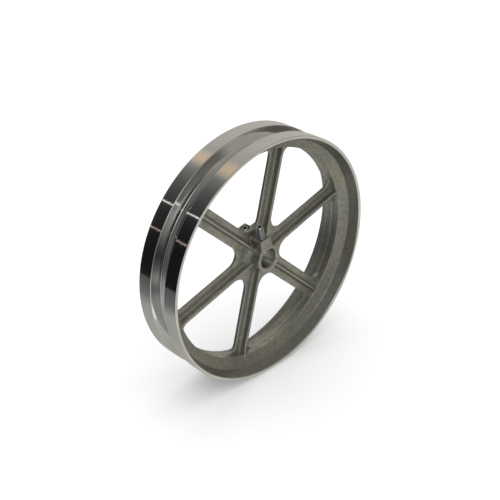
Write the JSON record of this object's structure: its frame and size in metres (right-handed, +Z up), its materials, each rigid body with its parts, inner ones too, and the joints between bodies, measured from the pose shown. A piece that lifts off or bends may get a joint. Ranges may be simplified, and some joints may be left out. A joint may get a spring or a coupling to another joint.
{
  "type": "v belt pulley",
  "caption": "Spoked V belt pulley with a wide flat-landed rim, one V groove, ribbed arms and a plain bored hub held to its shaft by set screws.",
  "frame": {"origin": "on the shaft axis, midway across the rim", "axes": "+Y along the shaft axis from the front hub face to the rear one, +Z up, +X to the right seen from the front"},
  "size_m": [0.2032, 0.041, 0.2032],
  "materials": {
    "polished_rim": "turned and polished",
    "cast_aluminium": "as cast, dull",
    "screw_steel": "bright steel"
  },
  "bodies": {
    "wheel": {"rim_front_flange": "polished_rim", "rim_groove_floor": "polished_rim", "rim_rear_flange": "polished_rim", "arm_1": "cast_aluminium", "arm_2": "cast_aluminium", "arm_3": "cast_aluminium", "arm_4": "cast_aluminium", "arm_5": "cast_aluminium", "arm_6": "cast_aluminium", "hub": "cast_aluminium"},
    "front_screw": {"set_screw_front": "screw_steel"},
    "rear_screw": {"set_screw_rear": "screw_steel"}
  },
  "joints": [
    {"name": "front_screw_advance", "type": "slide", "parent": "wheel", "child": "front_screw", "axis": [-0.1994, 0, 0.9799], "range_m": [-0.0058, 0.004]},
    {"name": "rear_screw_advance", "type": "slide", "parent": "wheel", "child": "rear_screw", "axis": [-0.1994, 0, 0.9799], "range_m": [-0.0029, 0.008]}
  ]
}
